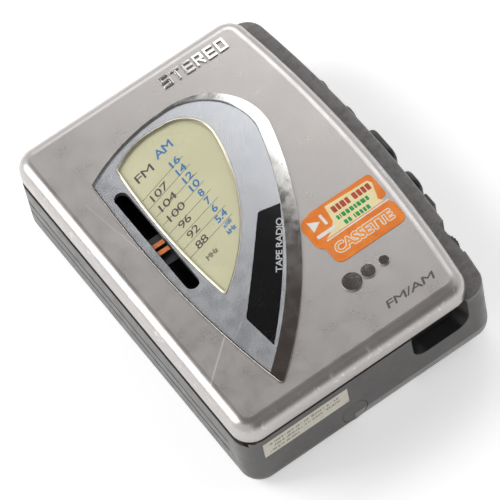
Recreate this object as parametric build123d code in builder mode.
"""Portable radio cassette player, lying on its back with the lid up.

Frame: X across the player (+X is the control side), Y along it (+Y is the top end with the
headphone socket), Z up out of the lid. The origin is at the middle of the back, on the surface
it lies on. All sizes are in millimetres.
"""
from build123d import *
from math import acos, asin, atan2, cos, degrees, hypot, radians, sin, sqrt
import os

# ---------------------------------------------------------------- driving dimensions
WIDTH = 88.7             # across the case and the proudest button
LENGTH = 115.0           # along the case
BUTTON_PROUD = 2.45      # how far the play button stands out of the side
LEFT = -WIDTH / 2        # hinge side of the case
HALF = LENGTH / 2

COVER_SEAM = 6.4         # seam between the back cover and the middle case
LOW_SEAM = 3.0           # the same seam on the battery side
CASE_TOP = 25.0          # rim that the lid closes on
LID_BOTTOM = 25.3
LID_TOP = 32.1
RIM_TOP = 32.6           # top of the chrome trim, the highest point
BOTTOM_RADIUS = 5.0      # rounding of the back cover's edge
CORNER_RADIUS = 6.3
LID_TOP_RADIUS = 4.0
CASE_TOP_RADIUS = 0.6
SHADOW_GAP = 0.8         # step under the lid along both short ends

CASE_EDGE = WIDTH / 2 - BUTTON_PROUD   # control side of the case at mid length
CASE_SAG = 4.05          # how far that side falls back at the ends
LID_EDGE = 36.65         # control side of the lid at mid length
LID_SAG = 4.3
WALL = 2.0
LID_WALL = 1.7
LID_CEILING = LID_TOP - LID_WALL

# cassette well
WELL_LEFT = -36.4
WELL_RIGHT = 29.4
WELL_HALF = 52.2
FLOOR_TOP = 17.2
FLOOR_BOTTOM = 15.6
STRIP_FLOOR = 18.2       # floor over the batteries
HEAD_WELL_RIGHT = 34.0
HEAD_WELL_HALF = 24.0
GALLERY_LEFT = 35.4      # hollow behind the buttons
GALLERY_TOP = 23.2

# battery compartment, for two AA cells end to end
BATTERY_LEFT = -41.6
BATTERY_RIGHT = -26.4
BATTERY_ROOF = 16.6
BATTERY_HALF = 53.5
PARTITION_RIGHT = -24.8
DOOR_RIGHT = -25.5
DOOR_END = 50.0

# lid hinge
HINGE_X = LEFT + 3.3
HINGE_Z = 25.6
COVE_RADIUS = 3.6
PIN_RADIUS = 0.75
LUG_RADIUS = 1.35
LUG_Y = 46.0             # middle of each hinge lug on the case
LUG_WIDTH = 3.0
COVE_HALF = 55.8         # the trough stops short of the end faces
END_COVE_RADIUS = 1.9

# tape drive
REEL_X = -6.8
REEL_SPACING = 42.5
CAPSTAN_X = 23.5
CAPSTAN_Y = -16.5
CAPSTAN_RADIUS = 1.0
GEAR_MODULE = 0.5
PINION_TEETH = 16
IDLER_TEETH = 32
TAKEUP_TEETH = 44
GEAR_LOW = 11.8
GEAR_HIGH = 13.0
PLATE_LOW = 10.4
PLATE_HIGH = 11.4
BELT_Z = 14.3
BELT_RADIUS = 0.5
FLYWHEEL_RADIUS = 12.0
MOTOR_X = 24.0
MOTOR_Y = 30.0
MOTOR_RADIUS = 10.5
PULLEY_RADIUS = 3.5
SHAFT_RADIUS = 0.75
TAPE_Z = 23.9            # middle plane of the cassette
BRIDGE_LOW = 16.5
BRIDGE_HIGH = 17.3
HEAD_TRAVEL = 2.0

# dial on the lid
SLOT_X = -27.1
SLOT_WIDTH = 4.3
SLOT_LOW = -10.8
SLOT_HIGH = 28.0
POINTER_Y = 6.3          # where the pointer stands at rest
POINTER_TOP = 31.4

# controls on the side: middle along Y, length, how far each stands out
BUTTON_LOW = 13.5
BUTTON_HIGH = 22.2
BUTTONS = {
    "rewind_button": (27.0, 4.6, 1.44),
    "fast_forward_button": (15.0, 6.2, 1.44),
    "play_button": (0.7, 12.4, BUTTON_PROUD),
    "stop_button": (-14.4, 8.0, 2.32),
}
SWITCH_Y = -23.4
WHEEL_X = 35.6
WHEEL_Y = -38.4
WHEEL_RADIUS = 5.0
WHEEL_LOW = 18.7
WHEEL_HIGH = 21.9
TUNER_X = -15.0
TUNER_Y = 48.2
TUNER_RADIUS = 9.0
TUNER_LOW = 10.1
TUNER_HIGH = 12.7
JACK_X = 20.0
JACK_Z = 9.6
JACK_BORE = 1.8
JACK_LOW = 44.4
JACK_HIGH = HALF - 0.05  # the socket's block shows in a notch of the end wall
JACK_HALF = 4.0          # half the width of that block
JACK_TOP = 13.2
BLANK_X = -9.6           # round blanking plug on the low end
BLANK_Z = 7.6
BLANK_RADIUS = 4.1
RECESS_LEFT = 11.3
RECESS_RIGHT = 30.4
RECESS_LOW = 13.3
RECESS_DEPTH = 4.2
GROOVE_LEVELS = (10.3, 15.2)
GROOVE_START = -47.0
GROOVE_END = 52.3
LABEL_LEFT = -39.0
LABEL_RIGHT = -10.7
LABEL_LOW = 14.8
LABEL_HIGH = 21.8
FLOOR_SCREW_SPOT = (-22.0, 38.6)
SCREW_SPOTS = [(-21.0, -52.6), (32.8, -50.6), FLOOR_SCREW_SPOT, (32.8, 50.6)]
BOSS_SPOTS = [(-20.0, -38.0), (28.0, -38.4), (-20.0, 31.0), (9.5, 33.0)]


def side_at(edge, sag, y):
    """X of a curved control side at a height along the player."""
    return edge - sag * (y / HALF) ** 2


def outline(edge, sag, inset, radius, left=LEFT):
    """Plan of the case or the lid: three straight sides and one shallow arc."""
    end = HALF - inset
    corner = side_at(edge, sag, HALF) - inset
    with BuildLine() as sides:
        Polyline((corner, end), (left + inset, end), (left + inset, -end), (corner, -end))
        ThreePointArc((corner, -end), (edge - inset, 0), (corner, end))
    face = make_face(sides.edges())
    fillet(face.vertices(), radius)


def button_radius(length):
    """Corner radius of a side button seen from the side."""
    return min(length * 0.46, 3.2)


def box_between(low, high, mode=Mode.ADD):
    """Box from its lowest to its highest corner."""
    size = tuple(high[i] - low[i] for i in range(3))
    with Locations(tuple((high[i] + low[i]) / 2 for i in range(3))):
        Box(*size, mode=mode)


def rod(spot, low, high, radius, mode=Mode.ADD):
    """Upright cylinder at a spot in plan."""
    with Locations((spot[0], spot[1], (low + high) / 2)):
        Cylinder(radius, high - low, mode=mode)


def rod_along_x(y, z, low, high, radius, mode=Mode.ADD):
    with Locations(Location(((low + high) / 2, y, z), (0, 90, 0))):
        Cylinder(radius, high - low, mode=mode)


def rod_along_y(x, z, low, high, radius, mode=Mode.ADD):
    with Locations(Location((x, (low + high) / 2, z), (90, 0, 0))):
        Cylinder(radius, high - low, mode=mode)


def save(builder, name):
    builder.part.label = name
    export_step(builder.part, f"parts/{name}.step")


os.makedirs("parts", exist_ok=True)

# ---------------------------------------------------------------- outer volume of the lower shell
with BuildPart() as shell:
    with BuildSketch(Plane.XY):
        outline(CASE_EDGE, CASE_SAG, 0, CORNER_RADIUS)
    extrude(amount=CASE_TOP)
    fillet(shell.edges().group_by(Axis.Z)[0], BOTTOM_RADIUS)
    fillet(shell.edges().group_by(Axis.Z)[-1], CASE_TOP_RADIUS)

# everything below the stepped seam
with BuildPart() as below_seam:
    box_between((LEFT - 5, -HALF - 5, -5), (WIDTH, HALF + 5, LOW_SEAM))
    box_between((BLANK_X, -HALF - 5, -5), (WIDTH, HALF + 5, COVER_SEAM))

# ---------------------------------------------------------------- middle case and the well's floor
with BuildPart() as case_body:
    add(shell.part)
    add(below_seam.part, mode=Mode.SUBTRACT)
    # cassette well, head well and the strip floor over the batteries
    box_between((WELL_LEFT, -WELL_HALF, STRIP_FLOOR), (PARTITION_RIGHT, WELL_HALF, 40), Mode.SUBTRACT)
    box_between((PARTITION_RIGHT, -WELL_HALF, FLOOR_TOP), (WELL_RIGHT, WELL_HALF, 40), Mode.SUBTRACT)
    box_between((WELL_RIGHT, -HEAD_WELL_HALF, FLOOR_TOP), (HEAD_WELL_RIGHT, HEAD_WELL_HALF, 40),
                Mode.SUBTRACT)
    # trough that the hinge side of the lid swings into
    rod_along_y(HINGE_X, HINGE_Z, -COVE_HALF, COVE_HALF, COVE_RADIUS, Mode.SUBTRACT)
    rod_along_y(HINGE_X, HINGE_Z, -HALF - 1, HALF + 1, END_COVE_RADIUS, Mode.SUBTRACT)
    box_between((LEFT - 1, -COVE_HALF, HINGE_Z - COVE_RADIUS + 0.6), (HINGE_X, COVE_HALF, 40),
                Mode.SUBTRACT)
    box_between((LEFT - 1, -HALF - 1, HINGE_Z - END_COVE_RADIUS + 0.3), (HINGE_X, HALF + 1, 40),
                Mode.SUBTRACT)
    # shadow gap under the lid along both ends
    box_between((LEFT - 1, -HALF - 1, CASE_TOP - 0.9), (RECESS_LEFT, -HALF + SHADOW_GAP, 40),
                Mode.SUBTRACT)
    box_between((LEFT - 1, HALF - SHADOW_GAP, CASE_TOP - 0.9), (28.0, HALF + 1, 40), Mode.SUBTRACT)
    # hollow for the works, open at the back
    with BuildSketch(Plane.XY.offset(FLOOR_BOTTOM)):
        outline(CASE_EDGE, CASE_SAG, WALL, CORNER_RADIUS - WALL)
        with Locations((PARTITION_RIGHT - 50, 0)):
            Rectangle(100, LENGTH, mode=Mode.SUBTRACT)
    extrude(amount=-FLOOR_BOTTOM, mode=Mode.SUBTRACT)
    box_between((BATTERY_LEFT, -BATTERY_HALF, 0), (BATTERY_RIGHT, BATTERY_HALF, BATTERY_ROOF),
                Mode.SUBTRACT)
    # hollow behind the buttons
    with BuildSketch(Plane.XY.offset(FLOOR_BOTTOM - 1)):
        outline(CASE_EDGE, CASE_SAG, WALL, CORNER_RADIUS - WALL)
        with Locations((GALLERY_LEFT - 50, 0)):
            Rectangle(100, LENGTH, mode=Mode.SUBTRACT)
        for end in (-1, 1):
            with Locations((0, end * (HALF - 2))):
                Rectangle(WIDTH * 2, 23, mode=Mode.SUBTRACT)
    extrude(amount=GALLERY_TOP - FLOOR_BOTTOM + 1, mode=Mode.SUBTRACT)
    # wall between the trough and the cassette
    box_between((WELL_LEFT - 1.2, -WELL_HALF, STRIP_FLOOR), (WELL_LEFT, WELL_HALF, 27.0))
    # channel for the tuning slider beside the trough
    box_between((-39.9, -15.0, 22.3), (WELL_LEFT - 1.3, 32.0, 40), Mode.SUBTRACT)
    # hinge lugs
    for end in (-1, 1):
        rod_along_y(HINGE_X, HINGE_Z, end * LUG_Y - LUG_WIDTH / 2, end * LUG_Y + LUG_WIDTH / 2,
                    LUG_RADIUS)
        box_between((HINGE_X - 0.3, end * LUG_Y - LUG_WIDTH / 2, 21.0),
                    (HINGE_X + LUG_RADIUS, end * LUG_Y + LUG_WIDTH / 2, HINGE_Z))
    rod_along_y(HINGE_X, HINGE_Z, -LUG_Y - 3, LUG_Y + 3, PIN_RADIUS + 0.05, Mode.SUBTRACT)
    # finger recess under the lid's free corner, with a thicker wall behind it
    box_between((RECESS_LEFT - 2, -HALF + 1, RECESS_LOW - 2.2),
                (RECESS_RIGHT + 2, -HALF + RECESS_DEPTH + 1.8, FLOOR_BOTTOM + 0.5))
    with BuildSketch(Plane.XZ.offset(HALF)) as recess_mouth:
        with Locations(((RECESS_LEFT + RECESS_RIGHT) / 2, (RECESS_LOW + 40) / 2)):
            RectangleRounded(RECESS_RIGHT - RECESS_LEFT, 40 - RECESS_LOW, 4.4)
    extrude(amount=-RECESS_DEPTH, taper=18, mode=Mode.SUBTRACT)
    # button openings through the side wall
    for middle, length, proud in BUTTONS.values():
        with BuildSketch(Plane.YZ.offset(GALLERY_LEFT + 1)):
            with Locations((middle, (BUTTON_LOW + BUTTON_HIGH) / 2)):
                RectangleRounded(length + 0.5, BUTTON_HIGH - BUTTON_LOW + 0.5, button_radius(length) + 0.2)
        extrude(amount=WIDTH, mode=Mode.SUBTRACT)
    # slide switch opening and its finger ridge
    box_between((GALLERY_LEFT + 1, SWITCH_Y - 4.2, 17.6), (WIDTH, SWITCH_Y + 2.6, 20.4), Mode.SUBTRACT)
    ridge_edge = side_at(CASE_EDGE, CASE_SAG, SWITCH_Y - 6.8)
    box_between((ridge_edge - 1, SWITCH_Y - 7.4, 18.0), (ridge_edge + 0.35, SWITCH_Y - 6.2, 22.0))
    # notch and pocket for the volume wheel
    notch_edge = side_at(CASE_EDGE, CASE_SAG, WHEEL_Y)
    box_between((notch_edge - 1.2, WHEEL_Y - 6, WHEEL_LOW - 1.2), (WIDTH, WHEEL_Y + 6, 40), Mode.SUBTRACT)
    rod((WHEEL_X, WHEEL_Y), WHEEL_LOW - 0.4, WHEEL_HIGH + 0.4, WHEEL_RADIUS + 0.5, Mode.SUBTRACT)
    rod((WHEEL_X, WHEEL_Y), FLOOR_BOTTOM - 1, WHEEL_LOW, 1.5, Mode.SUBTRACT)
    # tuning wheel slot and thumb scoop in the top end
    rod((TUNER_X, TUNER_Y), TUNER_LOW - 0.4, TUNER_HIGH + 0.4, TUNER_RADIUS + 0.4, Mode.SUBTRACT)
    rod((TUNER_X, HALF + 5), TUNER_LOW - 2.1, TUNER_HIGH + 2.1, 6.4, Mode.SUBTRACT)
    # band switch slot and the notch that the headphone socket stands in
    box_between((-1.0, HALF - 4, 7.8), (8.0, HALF + 1, 10.6), Mode.SUBTRACT)
    box_between((JACK_X - JACK_HALF - 0.1, HALF - 4, 0), (JACK_X + JACK_HALF + 0.1, HALF + 1, JACK_TOP + 0.1),
                Mode.SUBTRACT)
    # hole for the blanking plug
    rod_along_y(BLANK_X, BLANK_Z, -HALF - 1, -HALF + WALL + 1, BLANK_RADIUS + 0.12, Mode.SUBTRACT)
    # shallow seat for the paper label
    box_between((LABEL_LEFT - 0.1, -HALF - 1, LABEL_LOW - 0.1),
                (LABEL_RIGHT + 0.1, -HALF + 0.13, LABEL_HIGH + 0.1), Mode.SUBTRACT)
    # finger grooves along the hinge side
    for groove_z in GROOVE_LEVELS:
        box_between((LEFT - 1, GROOVE_START, groove_z - 0.35), (LEFT + 0.6, GROOVE_END, groove_z + 0.35),
                    Mode.SUBTRACT)
    # openings in the floor for the spindles, the capstan and the head bridge
    for end in (-1, 1):
        rod((REEL_X, end * REEL_SPACING / 2), FLOOR_BOTTOM - 1, FLOOR_TOP + 2, 5.4, Mode.SUBTRACT)
    rod((CAPSTAN_X, CAPSTAN_Y), FLOOR_BOTTOM - 1, FLOOR_TOP + 2, 2.6, Mode.SUBTRACT)
    box_between((22.0, -23.4, BRIDGE_LOW - 0.1), (HEAD_WELL_RIGHT, 23.4, FLOOR_TOP + 1), Mode.SUBTRACT)
    box_between((HEAD_WELL_RIGHT - 1, -4.0, BRIDGE_LOW - 0.1), (GALLERY_LEFT + 1, 5.4, FLOOR_TOP + 0.4),
                Mode.SUBTRACT)
    # slot for the lid's latch hook
    box_between((31.6, -31.0, 20.4), (34.7, -26.2, 40), Mode.SUBTRACT)
    # grooves for the battery door's rail
    box_between((BATTERY_RIGHT - 0.1, -BATTERY_HALF, 3.9), (BATTERY_RIGHT + 0.8, 49.0, 5.3),
                Mode.SUBTRACT)
    # screw bosses for the back cover and for the mechanism
    for x, y in SCREW_SPOTS:
        rod((x, y), 3.0 if x < BLANK_X else COVER_SEAM, FLOOR_BOTTOM + 0.5, 2.2)
        rod((x, y), 1.0, 11.0, 0.9, Mode.SUBTRACT)
    for x, y in BOSS_SPOTS:
        rod((x, y), PLATE_HIGH, FLOOR_BOTTOM + 0.5, 2.3)
        rod((x, y), PLATE_HIGH - 1, FLOOR_BOTTOM - 0.6, 0.75, Mode.SUBTRACT)


def floor_space(gap):
    """Room of the well's floor plate and of the bosses that hang from it, less a gap all round."""
    left = PARTITION_RIGHT + gap
    box_between((left, -WELL_HALF + gap, FLOOR_BOTTOM), (WELL_RIGHT - gap, WELL_HALF - gap, FLOOR_TOP))
    box_between((left, -HEAD_WELL_HALF + gap, FLOOR_BOTTOM),
                (HEAD_WELL_RIGHT - gap, HEAD_WELL_HALF - gap, FLOOR_TOP))
    for x, y in BOSS_SPOTS + [FLOOR_SCREW_SPOT]:
        rod((x, y), 1.0, FLOOR_BOTTOM, 2.4 - gap)


with BuildPart() as middle_case:
    add(case_body.part)
    with BuildPart(mode=Mode.SUBTRACT):
        floor_space(0)
save(middle_case, "middle_case")

with BuildPart() as well_floor:
    add(case_body.part)
    with BuildPart(mode=Mode.INTERSECT):
        floor_space(0.05)
save(well_floor, "well_floor")

# ---------------------------------------------------------------- back cover and battery door
with BuildPart() as door_zone:
    box_between((LEFT - 5, -HALF - 5, -5), (DOOR_RIGHT, DOOR_END, LOW_SEAM - 0.1))

with BuildPart() as back_cover:
    add(shell.part)
    add(below_seam.part, mode=Mode.INTERSECT)
    box_between((LEFT - 5, -HALF - 5, -5), (DOOR_RIGHT + 0.2, DOOR_END + 0.2, 20), Mode.SUBTRACT)
    with BuildSketch(Plane.XY.offset(1.7)):
        outline(CASE_EDGE, CASE_SAG, 3.4, 3.5)
        with Locations((DOOR_RIGHT + 1.6 - 50, 0)):
            Rectangle(100, LENGTH, mode=Mode.SUBTRACT)
    extrude(amount=10, mode=Mode.SUBTRACT)
    # bosses that stand under the case's own, with counterbores for the screw heads
    for x, y in SCREW_SPOTS:
        top = LOW_SEAM if x < BLANK_X else COVER_SEAM
        rod((x, y), 0.5, top - 0.05, 2.6)
        rod((x, y), -1, top + 1, 1.0, Mode.SUBTRACT)
        rod((x, y), -1, 1.5, 2.0, Mode.SUBTRACT)
    add(shell.part, mode=Mode.INTERSECT)
    # relief round the blanking plug
    rod_along_y(BLANK_X, BLANK_Z, -HALF - 1, -HALF + WALL + 2, BLANK_RADIUS + 0.12, Mode.SUBTRACT)
save(back_cover, "back_cover")

with BuildPart() as battery_door:
    add(shell.part)
    add(door_zone.part, mode=Mode.INTERSECT)
    # thin it out inside the compartment
    box_between((BATTERY_LEFT, -BATTERY_HALF, 1.6), (-28.2, 49.0, 10), Mode.SUBTRACT)
    # rail with a lip that runs in the partition's groove
    box_between((-27.7, -47.0, LOW_SEAM - 0.5), (-26.8, 43.5, 4.9))
    box_between((-27.0, -47.0, 4.2), (-25.9, 43.5, 4.9))
    # thumb grip across the outside
    for step in range(5):
        y = -44.0 + 1.6 * step
        box_between((-38.0, y - 0.35, -1), (-29.0, y + 0.35, 0.35), Mode.SUBTRACT)
save(battery_door, "battery_door")

# ---------------------------------------------------------------- battery contacts
CELL_X = (BATTERY_LEFT + BATTERY_RIGHT) / 2
CELL_Z = 9.5
with BuildPart() as battery_spring:
    box_between((CELL_X - 5, -BATTERY_HALF + 0.1, 5), (CELL_X + 5, -BATTERY_HALF + 0.5, 14))
    for turn in range(3):
        ring_y = -BATTERY_HALF + 0.9 + 1.1 * turn
        with Locations(Location((CELL_X, ring_y, CELL_Z), (90, 0, 0))):
            Torus(3.6 - 0.5 * turn, 0.42)
    box_between((CELL_X - 0.4, -BATTERY_HALF + 0.4, 12.2), (CELL_X + 0.4, -BATTERY_HALF + 3.1, 13.0))
save(battery_spring, "battery_spring")

with BuildPart() as battery_contact:
    box_between((CELL_X - 5, BATTERY_HALF - 0.6, 5), (CELL_X + 5, BATTERY_HALF - 0.1, 14))
    rod_along_y(CELL_X, CELL_Z, BATTERY_HALF - 1.3, BATTERY_HALF - 0.5, 2.2)
save(battery_contact, "battery_contact")

# ---------------------------------------------------------------- screws
with BuildPart() as case_screws:
    for x, y in SCREW_SPOTS:
        rod((x, y), 0.4, 1.4, 1.8)
        rod((x, y), 1.3, 9.5, 0.85)
        box_between((x - 1.2, y - 0.2, 0), (x + 1.2, y + 0.2, 0.8), Mode.SUBTRACT)
        box_between((x - 0.2, y - 1.2, 0), (x + 0.2, y + 1.2, 0.8), Mode.SUBTRACT)
save(case_screws, "case_screws")

with BuildPart() as mechanism_screws:
    for x, y in BOSS_SPOTS:
        rod((x, y), 9.5, PLATE_LOW - 0.02, 1.6)
        rod((x, y), 9.6, 14.2, 0.7)
        box_between((x - 1.0, y - 0.2, 9), (x + 1.0, y + 0.2, 9.9), Mode.SUBTRACT)
save(mechanism_screws, "mechanism_screws")

# ---------------------------------------------------------------- mechanism plate
with BuildPart() as mechanism_plate:
    with BuildSketch(Plane.XY.offset(PLATE_LOW)):
        with Locations((7, -3)):
            Rectangle(58, 76)
        with Locations((24, 36)):
            Rectangle(24, 13)
        with Locations((CAPSTAN_X, CAPSTAN_Y)):
            Circle(2.22, mode=Mode.SUBTRACT)
        with Locations((MOTOR_X, MOTOR_Y)):
            Circle(2.4, mode=Mode.SUBTRACT)
        with Locations(*BOSS_SPOTS):
            Circle(0.9, mode=Mode.SUBTRACT)
    extrude(amount=PLATE_HIGH - PLATE_LOW)
save(mechanism_plate, "mechanism_plate")

# ---------------------------------------------------------------- circuit board and its parts
BOARD_LOW = 3.4
BOARD_HIGH = 4.6
with BuildPart() as circuit_board:
    box_between((-23.6, -41.5, BOARD_LOW), (8.2, 52.0, BOARD_HIGH))
    box_between((8.1, 42.5, BOARD_LOW), (28.0, 52.0, BOARD_HIGH))
    rod(FLOOR_SCREW_SPOT, BOARD_LOW - 1, BOARD_HIGH + 1, 2.7, Mode.SUBTRACT)
save(circuit_board, "circuit_board")

with BuildPart() as board_parts:
    for x, y, wide, deep, tall in ((-12, 10, 12, 8, 2.2), (-2, -14, 9, 9, 2.0), (-17, -24, 7, 7, 4.5),
                                   (-6, 30, 7, 7, 4.8), (3, -34, 6, 9, 3.0)):
        box_between((x - wide / 2, y - deep / 2, BOARD_HIGH),
                    (x + wide / 2, y + deep / 2, BOARD_HIGH + tall))
    for x, y, radius in ((3, 8, 2.5), (3, 14.5, 2.5), (-19, -8, 2.0), (-19, 20, 2.5)):
        rod((x, y), BOARD_HIGH, BOARD_HIGH + 5.0, radius)
save(board_parts, "board_parts")

ANTENNA_Y = -46.4
ANTENNA_Z = 6.4
ANTENNA_RADIUS = 2.8
with BuildPart() as ferrite_antenna:
    rod_along_x(ANTENNA_Y, ANTENNA_Z, -20.0, 30.0, ANTENNA_RADIUS)
save(ferrite_antenna, "ferrite_antenna")

with BuildPart() as antenna_coil:
    for low, high in ((-10.0, 2.0), (8.0, 20.0)):
        rod_along_x(ANTENNA_Y, ANTENNA_Z, low, high, ANTENNA_RADIUS + 0.6)
        rod_along_x(ANTENNA_Y, ANTENNA_Z, low - 1, high + 1, ANTENNA_RADIUS + 0.05, Mode.SUBTRACT)
save(antenna_coil, "antenna_coil")

# ---------------------------------------------------------------- motor, pulley and belt
with BuildPart() as motor:
    rod((MOTOR_X, MOTOR_Y), 2.6, PLATE_LOW - 0.05, MOTOR_RADIUS)
    fillet(motor.edges(), 0.8)
    rod((MOTOR_X, MOTOR_Y), PLATE_LOW - 0.2, PLATE_HIGH + 0.4, 2.2)
    rod((MOTOR_X, MOTOR_Y), 7.9, PLATE_HIGH + 1, SHAFT_RADIUS + 0.05, Mode.SUBTRACT)
save(motor, "motor")

with BuildPart() as motor_shaft:
    rod((MOTOR_X, MOTOR_Y), 8.0, BELT_Z + 1.2, SHAFT_RADIUS)
save(motor_shaft, "motor_shaft")


def grooved_wheel(spot, radius, low, high, bore):
    """Disc with a round belt groove in its rim and a bore."""
    rod(spot, low, high, radius)
    with Locations((spot[0], spot[1], BELT_Z)):
        Torus(radius, BELT_RADIUS * 1.6, mode=Mode.SUBTRACT)
    if bore:
        rod(spot, low - 1, high + 1, bore, Mode.SUBTRACT)


with BuildPart() as motor_pulley:
    grooved_wheel((MOTOR_X, MOTOR_Y), PULLEY_RADIUS, BELT_Z - 1.2, BELT_Z + 1.0,
                  SHAFT_RADIUS + 0.01)
save(motor_pulley, "motor_pulley")

with BuildPart() as drive_belt:
    tilt = atan2(MOTOR_Y - CAPSTAN_Y, MOTOR_X - CAPSTAN_X)
    span = hypot(MOTOR_Y - CAPSTAN_Y, MOTOR_X - CAPSTAN_X)
    lean = asin((FLYWHEEL_RADIUS - PULLEY_RADIUS) / span)

    def tangent_point(spot, radius, side):
        turn = tilt + side * (radians(90) - lean)
        return (spot[0] + radius * cos(turn), spot[1] + radius * sin(turn))

    big, small = (CAPSTAN_X, CAPSTAN_Y), (MOTOR_X, MOTOR_Y)
    with BuildSketch(Plane.XY.offset(BELT_Z - BELT_RADIUS)):
        for grow, mode in ((BELT_RADIUS, Mode.ADD), (-BELT_RADIUS, Mode.SUBTRACT)):
            big_radius, small_radius = FLYWHEEL_RADIUS + grow, PULLEY_RADIUS + grow
            far = (small[0] + small_radius * cos(tilt), small[1] + small_radius * sin(tilt))
            near = (big[0] - big_radius * cos(tilt), big[1] - big_radius * sin(tilt))
            with BuildLine():
                Line(tangent_point(big, big_radius, 1), tangent_point(small, small_radius, 1))
                ThreePointArc(tangent_point(small, small_radius, 1), far,
                              tangent_point(small, small_radius, -1))
                Line(tangent_point(small, small_radius, -1), tangent_point(big, big_radius, -1))
                ThreePointArc(tangent_point(big, big_radius, -1), near,
                              tangent_point(big, big_radius, 1))
            make_face(mode=mode)
    extrude(amount=BELT_RADIUS * 2)
save(drive_belt, "drive_belt")


# ---------------------------------------------------------------- gears
def spur_gear(spot, teeth, bore, first_tooth):
    """Straight-cut gear with narrow trapezoid teeth; first_tooth is that tooth's direction."""
    pitch = teeth * GEAR_MODULE / 2
    root = pitch - 1.25 * GEAR_MODULE
    tip = pitch + 0.85 * GEAR_MODULE
    with BuildSketch(Plane.XY.offset(GEAR_LOW)) as plan:
        with Locations(spot):
            Circle(root)
        with Locations(spot):
            with PolarLocations(0, teeth, start_angle=first_tooth):
                with BuildLine(mode=Mode.PRIVATE) as tooth:
                    Polyline((root - 0.3, -0.36), (tip, -0.15), (tip, 0.15), (root - 0.3, 0.36),
                             close=True)
                add(make_face(tooth.edges(), mode=Mode.PRIVATE))
        with Locations(spot):
            Circle(bore, mode=Mode.SUBTRACT)
    extrude(plan.sketch, amount=GEAR_HIGH - GEAR_LOW)


def direction(start, end):
    return degrees(atan2(end[1] - start[1], end[0] - start[0]))


pinion_spot = (CAPSTAN_X, CAPSTAN_Y)
takeup_spot = (REEL_X, -REEL_SPACING / 2)
supply_spot = (REEL_X, REEL_SPACING / 2)
reach_pinion = (PINION_TEETH + IDLER_TEETH) * GEAR_MODULE / 2
reach_takeup = (TAKEUP_TEETH + IDLER_TEETH) * GEAR_MODULE / 2
gear_span = hypot(takeup_spot[0] - pinion_spot[0], takeup_spot[1] - pinion_spot[1])
along = (reach_pinion ** 2 - reach_takeup ** 2 + gear_span ** 2) / (2 * gear_span)
aside = sqrt(reach_pinion ** 2 - along ** 2)
heading = radians(direction(pinion_spot, takeup_spot))
idler_spot = (pinion_spot[0] + along * cos(heading) + aside * sin(heading),
              pinion_spot[1] + along * sin(heading) - aside * cos(heading))
to_pinion = direction(idler_spot, pinion_spot)
to_takeup = direction(idler_spot, takeup_spot)
# the idler has a tooth towards the pinion; each gear it meets has a gap where the idler has a tooth
idler_pitch = 360 / IDLER_TEETH
lag = ((to_takeup - to_pinion) / idler_pitch) % 1.0
takeup_first = to_takeup + 180 + (0.5 + lag) * 360 / TAKEUP_TEETH

with BuildPart() as flywheel:
    grooved_wheel(pinion_spot, FLYWHEEL_RADIUS, 13.3, 15.3, 0)
    rod(pinion_spot, GEAR_LOW, 13.4, PINION_TEETH * GEAR_MODULE / 2 - 1.25 * GEAR_MODULE)
    spur_gear(pinion_spot, PINION_TEETH, 0.9, to_pinion + 180 + 180 / PINION_TEETH)
    rod(pinion_spot, 11, 16, CAPSTAN_RADIUS + 0.02, Mode.SUBTRACT)
save(flywheel, "flywheel")

with BuildPart() as capstan:
    rod(pinion_spot, 8.6, 28.0, CAPSTAN_RADIUS)
    chamfer(capstan.edges(), 0.2)
save(capstan, "capstan")

with BuildPart() as capstan_bush:
    rod(pinion_spot, 8.8, 11.6, 2.2)
    rod(pinion_spot, 8.8, PLATE_LOW, 3.2)
    rod(pinion_spot, 8, 12, CAPSTAN_RADIUS + 0.05, Mode.SUBTRACT)
save(capstan_bush, "capstan_bush")

IDLER_BORE = 1.3
with BuildPart() as idler_gear:
    spur_gear(idler_spot, IDLER_TEETH, IDLER_BORE, to_pinion)
save(idler_gear, "idler_gear")

SPINDLE_TOP = 25.2
SPINDLE_BORE = 1.25


def reel_spindle(spot):
    """Flange, hub and three drive fins of a reel spindle, bored for its post."""
    flange_top = FLOOR_TOP + 1.2
    rod(spot, GEAR_HIGH - 0.2, flange_top, 4.4)
    rod(spot, flange_top - 0.1, SPINDLE_TOP, 2.6)
    with BuildSketch(Plane.XY.offset(flange_top + 0.6)) as fins:
        with Locations(spot):
            with PolarLocations(0, 3):
                Rectangle(3.9, 1.1, align=(Align.MIN, Align.CENTER))
    extrude(fins.sketch, amount=5.4)
    rod(spot, GEAR_LOW - 1, SPINDLE_TOP + 1, SPINDLE_BORE, Mode.SUBTRACT)


with BuildPart() as takeup_spindle:
    spur_gear(takeup_spot, TAKEUP_TEETH, SPINDLE_BORE, takeup_first)
    reel_spindle(takeup_spot)
save(takeup_spindle, "takeup_spindle")

with BuildPart() as supply_spindle:
    rod(supply_spot, GEAR_LOW, GEAR_HIGH, 9.0)
    reel_spindle(supply_spot)
save(supply_spindle, "supply_spindle")

with BuildPart() as spindle_posts:
    for spot in (takeup_spot, supply_spot):
        rod(spot, PLATE_HIGH, SPINDLE_TOP - 0.4, SPINDLE_BORE - 0.05)
    rod(idler_spot, PLATE_HIGH, GEAR_HIGH + 0.2, IDLER_BORE - 0.05)
    for spot in (takeup_spot, supply_spot, idler_spot):
        rod(spot, PLATE_HIGH, GEAR_LOW - 0.1, 2.4)
save(spindle_posts, "spindle_posts")

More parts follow.
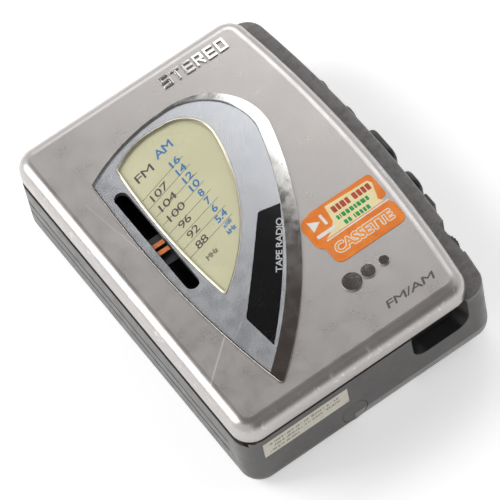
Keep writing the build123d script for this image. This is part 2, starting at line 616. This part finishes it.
# ---------------------------------------------------------------- head bridge, head and pinch roller
ARM_X = 31.5
ARM_Y = -21.0
ROLLER_X = 28.9
ROLLER_Y = -16.4
ROLLER_RADIUS = 3.9
with BuildPart() as head_bridge:
    box_between((29.8, -10.0, BRIDGE_LOW), (33.8, 22.0, BRIDGE_HIGH))
    box_between((31.6, -3.4, BRIDGE_LOW), (38.3, 4.8, BRIDGE_HIGH))
    box_between((30.2, -8.4, BRIDGE_HIGH - 0.1), (33.6, 8.4, 19.6))
    for y in (-8.0, 8.0):
        box_between((30.0, y - 0.6, 19.0), (32.0, y + 0.6, 26.0))
save(head_bridge, "head_bridge")

with BuildPart() as tape_head:
    box_between((29.8, -6.6, 19.7), (33.4, 6.6, 27.9))
    fillet(tape_head.edges().filter_by(Axis.Z).group_by(Axis.X)[0], 1.4)
save(tape_head, "tape_head")

with BuildPart() as pinch_post:
    rod((ARM_X, ARM_Y), FLOOR_BOTTOM + 0.8, 20.6, 0.8)
save(pinch_post, "pinch_post")

with BuildPart() as pinch_arm:
    with BuildSketch(Plane.XY.offset(17.5)):
        with Locations((ARM_X, ARM_Y)):
            Circle(1.9)
        with Locations((ROLLER_X, ROLLER_Y)):
            Circle(1.9)
        with BuildLine() as arm_line:
            Line((ARM_X, ARM_Y), (ROLLER_X, ROLLER_Y))
        trace(arm_line.edges(), line_width=2.6)
        with Locations((ARM_X, ARM_Y)):
            Circle(0.85, mode=Mode.SUBTRACT)
    extrude(amount=1.3)
    rod((ROLLER_X, ROLLER_Y), 18.0, 27.6, 0.8)
save(pinch_arm, "pinch_arm")

with BuildPart() as pinch_roller:
    rod((ROLLER_X, ROLLER_Y), 20.4, 27.0, ROLLER_RADIUS)
    rod((ROLLER_X, ROLLER_Y), 19.4, 20.5, 1.7)
    rod((ROLLER_X, ROLLER_Y), 19, 28, 0.85, Mode.SUBTRACT)
save(pinch_roller, "pinch_roller")

# ---------------------------------------------------------------- side buttons
for name, (middle, length, proud) in BUTTONS.items():
    wall_face = side_at(CASE_EDGE, CASE_SAG, middle)
    with BuildPart() as button:
        box_between((wall_face - 3.0, middle - length / 2, BUTTON_LOW),
                    (wall_face + proud, middle + length / 2, BUTTON_HIGH))
        fillet(button.edges().filter_by(Axis.X), button_radius(length))
        fillet(button.faces().sort_by(Axis.X)[-1].edges(), min(proud, 1.4) * 0.8)
        # flange that keeps the button in the case
        box_between((wall_face - 3.4, middle - length / 2 - 0.6, BUTTON_LOW - 0.5),
                    (wall_face - 2.4, middle + length / 2 + 0.6, BUTTON_HIGH + 0.6))
    save(button, name)

with BuildPart() as bass_switch:
    switch_face = side_at(CASE_EDGE, CASE_SAG, SWITCH_Y)
    box_between((switch_face - 3.4, SWITCH_Y - 1.4, 18.0), (switch_face + 0.6, SWITCH_Y + 1.4, 20.0))
    box_between((switch_face + 0.35, SWITCH_Y - 2.3, 17.0), (switch_face + 1.7, SWITCH_Y + 2.3, 22.2))
    fillet(bass_switch.faces().sort_by(Axis.X)[-1].edges(), 0.5)
    box_between((switch_face - 3.8, SWITCH_Y - 2.0, 16.6), (switch_face - 2.5, SWITCH_Y + 2.0, 21.4))
save(bass_switch, "bass_switch")


# ---------------------------------------------------------------- thumb wheels
def thumb_wheel(spot, low, high, radius, ribs, shaft_low):
    rod(spot, low, high, radius)
    with BuildSketch(Plane.XY.offset(low)) as grooves:
        with Locations(spot):
            with PolarLocations(radius, ribs):
                Circle(0.28)
    extrude(grooves.sketch, amount=high - low, mode=Mode.SUBTRACT)
    rod(spot, shaft_low, low + 0.1, 1.2)


with BuildPart() as volume_wheel:
    thumb_wheel((WHEEL_X, WHEEL_Y), WHEEL_LOW, WHEEL_HIGH, WHEEL_RADIUS, 30, 13.4)
save(volume_wheel, "volume_wheel")

with BuildPart() as volume_control:
    rod((WHEEL_X, WHEEL_Y), 11.6, 13.2, 2.1)
save(volume_control, "volume_control")

with BuildPart() as tuning_wheel:
    thumb_wheel((TUNER_X, TUNER_Y), TUNER_LOW, TUNER_HIGH, TUNER_RADIUS, 54, 9.6)
save(tuning_wheel, "tuning_wheel")

with BuildPart() as tuning_capacitor:
    box_between((TUNER_X - 4.2, TUNER_Y - 7.4, 4.65), (TUNER_X + 6, TUNER_Y + 3.6, 9.2))
save(tuning_capacitor, "tuning_capacitor")

# ---------------------------------------------------------------- top end: band switch and headphone socket
with BuildPart() as band_switch:
    box_between((0.6, HALF - 3.4, 8.1), (4.0, HALF - 0.1, 10.3))
    for step in range(3):
        x = 1.4 + 0.9 * step
        box_between((x - 0.15, HALF - 0.45, 8), (x + 0.15, HALF, 11), Mode.SUBTRACT)
save(band_switch, "band_switch")

with BuildPart() as headphone_socket:
    box_between((JACK_X - JACK_HALF, 42.8, COVER_SEAM + 0.1), (JACK_X + JACK_HALF, JACK_HIGH, JACK_TOP))
    fillet(headphone_socket.faces().sort_by(Axis.Y)[-1].edges(), 0.3)
    rod_along_y(JACK_X, JACK_Z, JACK_LOW, HALF + 1, JACK_BORE, Mode.SUBTRACT)
save(headphone_socket, "headphone_socket")

with BuildPart() as blanking_plug:
    rod_along_y(BLANK_X, BLANK_Z, -HALF + 0.05, -HALF + WALL + 0.4, BLANK_RADIUS)
save(blanking_plug, "blanking_plug")

# ---------------------------------------------------------------- lid
with BuildPart() as lid_hollow:
    with BuildSketch(Plane.XY.offset(LID_BOTTOM - 1)):
        outline(LID_EDGE, LID_SAG, LID_WALL, CORNER_RADIUS - LID_WALL)
    extrude(amount=LID_CEILING - LID_BOTTOM + 1)
    fillet(lid_hollow.edges().group_by(Axis.Z)[-1], LID_TOP_RADIUS - LID_WALL)


RIM_LINE = 0.5           # width of the chrome line on the hinge side


def dial_outline(grow):
    """Shield-shaped plan of the dial: rounded shoulder at the top, point at the low end."""
    tip = (-26.0, -51.0)
    corner = (-31.3, 34.6)
    crown = (-1.5, 42.3)
    with BuildLine() as sides:
        ThreePointArc(tip, (-31.8, -8.0), corner)
        ThreePointArc(corner, (-18.0, 40.0), crown)
        ThreePointArc(crown, (15.4, 35.2), (19.6, 20.0))
        ThreePointArc((19.6, 20.0), (6.0, -14.0), tip)
    face = make_face(sides.edges())
    fillet(face.vertices().sort_by(Axis.Y)[0], 1.0)
    fillet(face.vertices().sort_by(Axis.X)[0], 1.2)
    if grow:
        offset(amount=grow, mode=Mode.REPLACE)


def field_outline(grow):
    """Plan inside the chrome band, which thins to a line on the hinge side."""
    tip = (-27.6, -46.6)
    corner = (-31.0, 34.2)
    crown = (-1.5, 41.7)
    with BuildLine() as sides:
        ThreePointArc(tip, (-31.4, -8.0), corner)
        ThreePointArc(corner, (-18.0, 39.5), crown)
        ThreePointArc(crown, (12.9, 34.6), (15.9, 20.0))
        ThreePointArc((15.9, 20.0), (2.2, -12.0), tip)
    with BuildSketch(mode=Mode.PRIVATE) as field:
        make_face(sides.edges())
        with BuildSketch(mode=Mode.PRIVATE) as dial:
            dial_outline(-RIM_LINE)
        add(dial.sketch, mode=Mode.INTERSECT)
        offset(amount=grow, mode=Mode.REPLACE)
    add(field.sketch)


def window_outline():
    """Plan of the tuning scale's window."""
    with BuildLine() as sides:
        ThreePointArc((-22.2, -18.4), (-24.3, 6.0), (-23.2, 34.6))
        ThreePointArc((-23.2, 34.6), (-14.5, 38.5), (-5.0, 38.9))
        ThreePointArc((-5.0, 38.9), (3.4, 35.4), (5.9, 27.0))
        ThreePointArc((5.9, 27.0), (-3.2, 1.6), (-22.2, -18.4))
    face = make_face(sides.edges())
    fillet(face.vertices().sort_by(Axis.Y)[0], 1.0)
    fillet(face.vertices().sort_by(Axis.X)[0], 0.8)


def dark_window_outline():
    """Plan of the smoked window beside the chrome band."""
    with BuildLine() as sides:
        Line((0.1, -1.7), (6.7, -3.3))
        ThreePointArc((6.7, -3.3), (-7.8, -24.6), (-20.8, -39.2))
        Line((-20.8, -39.2), (-22.0, -27.5))
        ThreePointArc((-22.0, -27.5), (-9.9, -13.7), (0.1, -1.7))
    face = make_face(sides.edges())
    fillet(face.vertices().filter_by(lambda corner: corner.X < -21 or abs(corner.X) < 1), 1.3)
    fillet(face.vertices().sort_by(Axis.X)[-1], 0.5)
    fillet(face.vertices().sort_by(Axis.Y)[0], 0.4)


def slot_outline(margin):
    with Locations((SLOT_X, (SLOT_LOW + SLOT_HIGH) / 2)):
        SlotOverall(SLOT_HIGH - SLOT_LOW + 2 * margin, SLOT_WIDTH + 2 * margin, rotation=90)


BEZEL_FLOOR = 30.9       # the dial's parts lie in a pocket of the lid down to here
FIT = 0.06               # gap round each part that is let into the dial
HOOK_X = 32.5            # latch hook that hangs from the lid
HOOK_LOW = 22.8
with BuildPart() as lid:
    with BuildSketch(Plane.XY.offset(LID_BOTTOM)):
        outline(LID_EDGE, LID_SAG, 0, CORNER_RADIUS)
    extrude(amount=LID_TOP - LID_BOTTOM)
    fillet(lid.edges().group_by(Axis.Z)[-1], LID_TOP_RADIUS)
    add(lid_hollow.part, mode=Mode.SUBTRACT)
    with BuildSketch(Plane.XY.offset(BEZEL_FLOOR)):
        dial_outline(0)
    extrude(amount=5, mode=Mode.SUBTRACT)
    with BuildSketch(Plane.XY.offset(29)):
        slot_outline(0)
    extrude(amount=5, mode=Mode.SUBTRACT)
    # hinge ears either side of each lug
    for end in (-1, 1):
        for side in (-1, 1):
            ear = end * LUG_Y + side * (LUG_WIDTH / 2 + 1.3)
            rod_along_y(HINGE_X, HINGE_Z, ear - 1.0, ear + 1.0, 1.4)
            box_between((LEFT + 1.0, ear - 1.0, HINGE_Z), (HINGE_X + 1.4, ear + 1.0, LID_CEILING + 0.2))
    rod_along_y(HINGE_X, HINGE_Z, -LUG_Y - 5, LUG_Y + 5, PIN_RADIUS, Mode.SUBTRACT)
    # latch hook
    box_between((HOOK_X, -30.2, HOOK_LOW), (HOOK_X + 1.7, -27.0, LID_CEILING + 0.2))
    box_between((HOOK_X - 0.4, -30.2, HOOK_LOW), (HOOK_X + 0.1, -27.0, HOOK_LOW + 0.8))
    # guide ribs for the tuning pointer
    for x in (SLOT_X - 3.1, SLOT_X + 3.1):
        box_between((x - 0.35, -13.0, 30.0), (x + 0.35, 31.0, LID_CEILING + 0.1))
save(lid, "lid")

with BuildPart() as hinge_pins:
    for end in (-1, 1):
        rod_along_y(HINGE_X, HINGE_Z, end * LUG_Y - 3.7, end * LUG_Y + 3.7, PIN_RADIUS)
save(hinge_pins, "hinge_pins")

with BuildPart() as latch_spring:
    box_between((31.8, -30.6, 20.5), (32.0, -26.6, 24.6))
    box_between((31.8, -30.6, 20.45), (34.4, -26.6, 20.65))
save(latch_spring, "latch_spring")

with BuildPart() as cassette_holder:
    box_between((-22.0, -51.4, 29.7), (8.0, 51.4, LID_CEILING - 0.05))
    for end in (-1, 1):
        low, high = sorted((end * 50.6, end * 51.4))
        box_between((-34.0, low, 18.6), (10.0, high, 30.3))
        low, high = sorted((end * 49.5, end * 51.0))
        box_between((-34.0, low, 18.6), (10.0, high, 19.1))
save(cassette_holder, "cassette_holder")

with BuildPart() as cassette_springs:
    for y in (-36.0, 36.0):
        box_between((12.0, y - 4, LID_CEILING - 0.4), (27.0, y + 4, LID_CEILING - 0.05))
        box_between((24.0, y - 2, 28.6), (26.5, y + 2, LID_CEILING - 0.3))
save(cassette_springs, "cassette_springs")

# ---------------------------------------------------------------- dial parts in the lid
with BuildPart() as dial_bezel:
    with BuildSketch(Plane.XY.offset(BEZEL_FLOOR + 0.02)):
        field_outline(-FIT)
    extrude(amount=LID_TOP - 0.1 - BEZEL_FLOOR - 0.02)
    with BuildSketch(Plane.XY.offset(BEZEL_FLOOR)):
        window_outline()
        slot_outline(0)
        dark_window_outline()
    extrude(amount=5, mode=Mode.SUBTRACT)
save(dial_bezel, "dial_bezel")

with BuildPart() as chrome_rim:
    with BuildSketch(mode=Mode.PRIVATE) as inside_rim:
        field_outline(0)
    with BuildSketch(Plane.XY.offset(BEZEL_FLOOR + 0.02)):
        dial_outline(-FIT)
        add(inside_rim.sketch, mode=Mode.SUBTRACT)
    extrude(amount=RIM_TOP - BEZEL_FLOOR - 0.02)
save(chrome_rim, "chrome_rim")

with BuildPart() as dial_plate:
    with BuildSketch(Plane.XY.offset(BEZEL_FLOOR + 0.02)):
        window_outline()
        offset(amount=-FIT, mode=Mode.REPLACE)
    extrude(amount=0.35)
save(dial_plate, "dial_plate")

with BuildPart() as dial_lens:
    with BuildSketch(Plane.XY.offset(31.35)):
        window_outline()
        offset(amount=-FIT, mode=Mode.REPLACE)
    extrude(amount=0.6)
save(dial_lens, "dial_lens")

with BuildPart() as dark_window:
    with BuildSketch(Plane.XY.offset(BEZEL_FLOOR + 0.02)):
        dark_window_outline()
        offset(amount=-FIT, mode=Mode.REPLACE)
    extrude(amount=LID_TOP - 0.05 - BEZEL_FLOOR)
save(dark_window, "dark_window")

with BuildPart() as tuning_pointer:
    box_between((SLOT_X - 2.6, POINTER_Y - 5.0, 28.8), (SLOT_X + 2.6, POINTER_Y + 5.0, 29.8))
    # two bars that show in the slot
    for y in (POINTER_Y - 1.3, POINTER_Y + 1.3):
        box_between((SLOT_X - 1.9, y - 0.7, 29.7), (SLOT_X + 1.7, y + 0.7, POINTER_TOP))
    # fork that the tuning slider's peg enters when the lid is shut
    box_between((-37.2, POINTER_Y - 1.9, 28.8), (SLOT_X, POINTER_Y + 1.9, 29.6))
    for side in (-1, 1):
        low, high = sorted((POINTER_Y + side * 0.8, POINTER_Y + side * 1.9))
        box_between((-39.9, low, 28.8), (-37.0, high, 29.6))
save(tuning_pointer, "tuning_pointer")

with BuildPart() as tuning_slider:
    box_between((-39.6, POINTER_Y - 4, 22.6), (-38.0, POINTER_Y + 4, 23.9))
    box_between((-39.3, POINTER_Y - 0.5, 23.8), (-38.4, POINTER_Y + 0.5, 29.3))
save(tuning_slider, "tuning_slider")


# ---------------------------------------------------------------- badge, emblem and stickers
def letter_bars(letter):
    """Straight strokes of a block letter on a cell 1 wide and 1.4 tall."""
    top = ((0, 1.4), (1, 1.4))
    middle = ((0, 0.7), (1, 0.7))
    low = ((0, 0), (1, 0))
    left = ((0, 0), (0, 1.4))
    right = ((1, 0), (1, 1.4))
    return {
        "S": (top, ((0, 0.7), (0, 1.4)), middle, ((1, 0), (1, 0.7)), low),
        "T": (top, ((0.5, 0), (0.5, 1.4))),
        "E": (left, top, middle, low),
        "R": (left, top, ((1, 0.7), (1, 1.4)), middle, ((0.45, 0.7), (1, 0))),
        "O": (left, top, right, low),
    }[letter]


BADGE_X = 3.4
BADGE_Y = 48.2
LETTER = 2.35
STROKE = 0.72
with BuildPart() as badge:
    with BuildSketch(Plane.XY.offset(LID_TOP)):
        for place, letter in enumerate("STEREO"):
            origin = BADGE_X + place * LETTER * 1.62
            for start, end in letter_bars(letter):
                along_x, along_y = end[0] - start[0], end[1] - start[1]
                middle = (origin + (start[0] + along_x / 2) * LETTER,
                          BADGE_Y + (start[1] + along_y / 2) * LETTER)
                with Locations(Location((*middle, 0), (0, 0, degrees(atan2(along_y, along_x))))):
                    Rectangle(hypot(along_x, along_y) * LETTER + STROKE, STROKE)
    extrude(amount=0.45)
save(badge, "badge")

EMBLEM_X = 13.0
EMBLEM_Y = -36.6
with BuildPart() as emblem:
    with BuildSketch(Plane.XY.offset(LID_TOP)):
        for place, radius in enumerate((2.9, 2.1, 1.5)):
            with Locations((EMBLEM_X - 5.6 + 5.4 * place, EMBLEM_Y)):
                Circle(radius)
    extrude(amount=0.48)
save(emblem, "emblem")

with BuildPart() as front_sticker:
    with BuildSketch(Plane.XY.offset(LID_TOP + 0.01)):
        with Locations((19.6, -25.6)):
            RectangleRounded(23.6, 8.6, 2.4)
        with Locations((20.6, -15.6)):
            RectangleRounded(21.6, 8.8, 1.2)
        with Locations((10.6, -17.8)):
            RectangleRounded(9.0, 12.0, 3.4)
        with Locations((18.5, -20.5)):
            Rectangle(21.6, 5)
    extrude(amount=0.12)
save(front_sticker, "front_sticker")

with BuildPart() as end_label:
    box_between((LABEL_LEFT, -HALF, LABEL_LOW), (LABEL_RIGHT, -HALF + 0.12, LABEL_HIGH))
save(end_label, "end_label")
